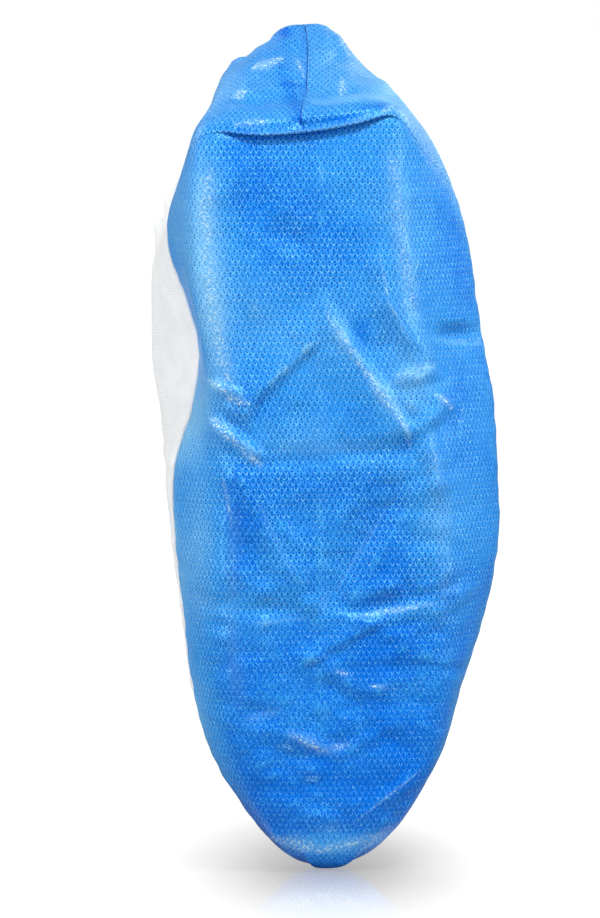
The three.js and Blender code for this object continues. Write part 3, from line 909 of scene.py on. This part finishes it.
def spunbond_material():
    g = Graph("spunbond")
    cloth = g.node("SeparateXYZ", Vector=g.attribute("cloth", "Vector")).outputs
    width = g.math("ADD", cloth[0], ALWAYS_ABOVE)
    length = g.math("ADD", cloth[1], ALWAYS_ABOVE)
    along = g.math("MULTIPLY", g.math("ADD", width, length), 0.7071)
    aside = g.math("MULTIPLY", g.math("SUBTRACT", width, length), 0.7071)
    x, y = staggered(g, g.math("ADD", aside, 2 * ALWAYS_ABOVE), along, *DOT_PITCH)
    dot = g.ramp(distance(g, x, y), 0.18, 0.42, 1.0, 0.0)
    place = g.node("TexCoord").outputs["Object"]
    fibre = g.node("TexNoise", Vector=place, Scale=1400.0, Detail=4.0, Distortion=1.5).outputs["Fac"]
    cloud = g.noise(place, 120.0, 3.0)
    base = g.mix(g.ramp(cloud, 0.3, 0.7), srgb(239, 241, 243), srgb(247, 248, 249))
    base = g.mix(g.math("MULTIPLY", dot, 0.35), base, srgb(205, 212, 218))
    height = g.math("SUBTRACT", g.math("MULTIPLY", fibre, 0.7), dot)
    soft = g.bump(cloud, 0.00015)
    g.surface(Base_Color=base, Roughness=0.82, Normal=g.bump(height, 0.00012, soft))
    g.surface(Sheen_Weight=0.25, Sheen_Roughness=0.5, Specular_IOR_Level=0.35)
    return g.material


def tape_material():
    g = Graph("elastic_tape")
    cloth = g.node("SeparateXYZ", Vector=g.attribute("cloth", "Vector")).outputs
    x, y = staggered(g, *(g.math("ADD", c, ALWAYS_ABOVE) for c in (cloth[0], cloth[1])), *RIB_PITCH)
    rib = g.ramp(distance(g, x, y), 0.1, 0.45, 1.0, 0.0)
    base = g.mix(rib, srgb(196, 198, 200), srgb(238, 239, 240))
    g.surface(Base_Color=base, Roughness=0.85, Normal=g.bump(rib, 0.00025))
    g.surface(Sheen_Weight=0.2)
    return g.material


# The studio: a floor and a surround that look white, a soft sun and area lights. The camera is aimed at
# CAMERA_TARGET in mm, and its view there is CAMERA_VIEW metres high.
CAMERA_AZIMUTH, CAMERA_ELEVATION = -9.0, 4.0
CAMERA_LENS, CAMERA_SENSOR, CAMERA_VIEW = 250.0, 36.0, 0.3672
CAMERA_TARGET = (-0.2, 50.0, 161.2)
FLOOR_SIZE = 60
# The oval round the toe in which the floor's glow is dimmed into a painted shadow, and in which it mirrors: its
# middle's x, and half its width and depth, in metres. The floor glows by the first number below at its middle,
# where the painted shadow is darkest, by FLOOR_GLOW outside it, and mirrors by MIRROR at its middle.
HALO_MIDDLE, HALO_WIDTH, HALO_DEPTH = 0.003, 0.09, 0.26
PAINTED_SHADOW_GLOW, FLOOR_GLOW, MIRROR = 0.72, 1.03, 0.5
WORLD_LIGHT, WORLD_SEEN = 0.12, 1.0
# Area lights round the target: place, aim, size, in metres from the target, power, and whether gloss mirrors them.
AREA_LIGHTS = {
    "softbox": ((0.24, -0.65, 0.92), (0, 0, 0.05), (0.32, 0.2), 8.8, True),
    "left_strip": ((-1.05, -0.62, 0.3), (0, 0, 0), (0.08, 0.9), 10, True),
    "right_strip": ((1.15, -0.45, 0.3), (0, 0, 0), (0.08, 0.9), 8, True),
    "back_left": ((-1.0, 1.1, 0.9), (0, 0, 0), (0.8, 0.8), 7, True),
    "back_right": ((1.1, 1.0, 0.8), (0, 0, 0), (0.8, 0.8), 6, True),
    "into_opening": ((0.0, 1.25, 0.75), (0, 0, 0.1), (0.5, 0.5), 11, False),
}


def floor(place):
    """The floor, turned by the camera's azimuth so that its oval of painted shadow lies square to the main view."""
    bpy.ops.mesh.primitive_plane_add(size=FLOOR_SIZE, location=place)
    plane = bpy.context.object
    plane.rotation_euler.z = math.radians(CAMERA_AZIMUTH)
    plane.name = "studio_floor"
    g = Graph("studio_floor")
    at = g.node("SeparateXYZ", Vector=g.node("TexCoord").outputs["Object"]).outputs
    across = g.math("DIVIDE", g.math("SUBTRACT", at[0], HALO_MIDDLE), HALO_WIDTH)
    reach = distance(g, across, g.math("DIVIDE", at[1], HALO_DEPTH))
    rays = g.node("LightPath").outputs
    # The camera sees the glow in full and diffuse rays at 0.4 of it, so it also lights the cover from below.
    seen = g.math("ADD", rays["Is Camera Ray"], g.math("MULTIPLY", rays["Is Diffuse Ray"], 0.4))
    # The floor's glow, dimmed round the toe into a painted shadow.
    glow_with_painted_shadow = g.math("MULTIPLY", seen, g.ramp(reach, 0.0, 0.5, PAINTED_SHADOW_GLOW, FLOOR_GLOW))
    g.surface(Base_Color=(0.12, 0.12, 0.12, 1), Roughness=0.9, Specular_IOR_Level=0.0)
    g.surface(Emission_Color=(1, 1, 1, 1), Emission_Strength=glow_with_painted_shadow)
    gloss = g.node("BsdfGlossy", Color=(1, 1, 1, 1), Roughness=0.04)
    share = g.ramp(reach, 0.1, 1.0, MIRROR, 0.0)
    both = g.node("MixShader", i0=share, i1=g.shader.outputs[0], i2=gloss.outputs[0])
    g.tree.links.new(both.outputs[0], g.tree.nodes["Material Output"].inputs["Surface"])
    plane.data.materials.append(g.material)


def lamp(name, kind, energy, towards):
    light = bpy.data.lights.new(name, kind)
    light.energy = energy
    made = bpy.data.objects.new(name, light)
    bpy.context.scene.collection.objects.link(made)
    made.rotation_euler = towards.to_track_quat("-Z", "Y").to_euler()
    return made


def area_light(name, place, aim, size, power, mirrored):
    made = lamp(name, "AREA", power, aim - place)
    made.data.shape = "RECTANGLE"
    made.data.size, made.data.size_y = size
    made.location = place
    made.visible_glossy = mirrored


def sun_light(name, direction, strength, softness):
    made = lamp(name, "SUN", strength, -Vector(direction))
    made.data.angle = math.radians(softness)


def studio(centre):
    world = bpy.data.worlds.new("studio")
    bpy.context.scene.world = world
    world.use_nodes = True
    tree = world.node_tree
    ray = tree.nodes.new("ShaderNodeLightPath").outputs["Is Camera Ray"]
    strength = tree.nodes.new("ShaderNodeMapRange")
    strength.inputs["To Min"].default_value = WORLD_LIGHT
    strength.inputs["To Max"].default_value = WORLD_SEEN
    tree.links.new(ray, strength.inputs["Value"])
    tree.links.new(strength.outputs[0], tree.nodes["Background"].inputs["Strength"])
    tree.nodes["Background"].inputs["Color"].default_value = (1, 1, 1, 1)
    sun_light("key", (0.15, -0.3, 1.0), 0.5, 14)
    c = Vector(centre)
    for name, (place, aim, size, power, mirrored) in AREA_LIGHTS.items():
        area_light(name, c + Vector(place), c + Vector(aim), size, power, mirrored)
    bpy.context.scene.view_settings.view_transform = "Standard"


def camera(target):
    data = bpy.data.cameras.new("camera")
    data.lens = CAMERA_LENS
    data.sensor_width = CAMERA_SENSOR
    eye = bpy.data.objects.new("camera", data)
    bpy.context.scene.collection.objects.link(eye)
    a, e = math.radians(CAMERA_AZIMUTH), math.radians(CAMERA_ELEVATION)
    away = Vector((math.sin(a) * math.cos(e), -math.cos(a) * math.cos(e), math.sin(e)))
    eye.location = Vector(target) + away * (CAMERA_VIEW * CAMERA_LENS / data.sensor_width)
    eye.rotation_euler = (-away).to_track_quat("-Z", "Y").to_euler()
    bpy.context.scene.camera = eye


def numbers(box):
    return [[round(float(c), 6) for c in corner] for corner in box]


def main():
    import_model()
    cad_box = numbers(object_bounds())
    low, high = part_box("upper_panel")
    p = bare_skin(*np.meshgrid(np.linspace(0, LAST, 400), np.linspace(SEAM, LOOP - SEAM, 200), indexing="ij"))
    middle = (p.reshape(-1, 3).min(0) + p.reshape(-1, 3).max(0)) / 2
    origin = np.array((low + high) / 2) - middle * MM

    pieces = [
        (sole_panel(origin), film_material(), "sole_panel", "sole_film"),
        (upper_panel(origin), spunbond_material(), "upper_panel", "upper_nonwoven"),
        (elastic(origin), tape_material(), "ankle_elastic", "elastic_tape"),
    ]
    for piece, material, node, slot in pieces:
        piece.data.materials.append(material)
        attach(piece, "root")
        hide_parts(node)

    toe = origin + CONTROL[0, 0] * MM
    floor((toe[0], toe[1], cad_box[0][2]))
    target = origin + np.array(CAMERA_TARGET) * MM
    studio(target)
    camera(target)


main()
